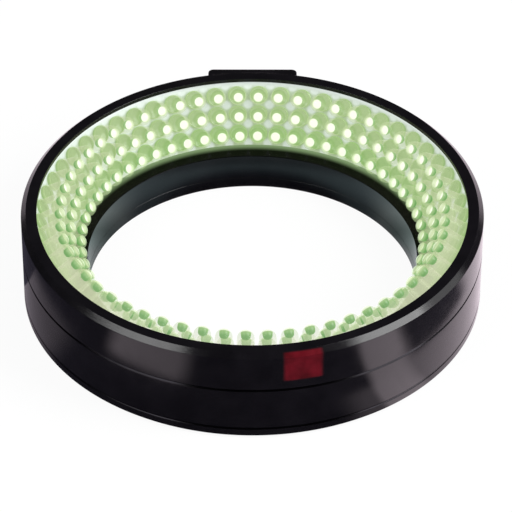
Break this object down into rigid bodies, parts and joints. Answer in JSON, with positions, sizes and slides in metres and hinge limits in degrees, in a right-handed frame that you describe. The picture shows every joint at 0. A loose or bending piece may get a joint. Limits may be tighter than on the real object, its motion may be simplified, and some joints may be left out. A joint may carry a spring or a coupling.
{
  "type": "machine vision ring light",
  "caption": "Low black ring light with rows of green lamps on an inward-facing white cone round a wide open bore, and a small cable box on its side.",
  "frame": {"origin": "on the bore's axis, in the flat rear face that the light lies or is mounted on", "axes": "+Z along the bore's axis out of the lit side; +Y from the axis towards the cable box"},
  "size_m": [0.132, 0.1522, 0.0299],
  "materials": {
    "black_anodised": "fine satin black anodising",
    "white_board": "white solder mask",
    "lit_lamp": "clear cast resin, lit green",
    "black_nylon": "moulded black nylon",
    "green_board": "green solder mask",
    "amber_film": "amber polyimide film",
    "resistor_body": "black glaze",
    "black_resin": "moulded black resin",
    "green_terminal": "moulded green nylon",
    "ivory_plastic": "moulded ivory plastic"
  },
  "bodies": {
    "root": {"main_body": "black_anodised", "front_ring": "black_anodised", "rear_cover": "black_anodised", "lamp_board": "white_board", "lamp_row_lower": "lit_lamp", "lamp_row_middle": "lit_lamp", "lamp_row_upper": "lit_lamp", "cable_box": "black_anodised", "cable_box_lid": "black_anodised", "cable_gland": "black_nylon", "gland_locknut": "black_nylon", "insulating_sheet": "amber_film", "driver_board": "green_board", "current_resistors": "resistor_body", "protection_diode": "black_resin", "power_terminal": "green_terminal", "flex_tail": "amber_film", "link_header": "ivory_plastic"}
  },
  "joints": []
}
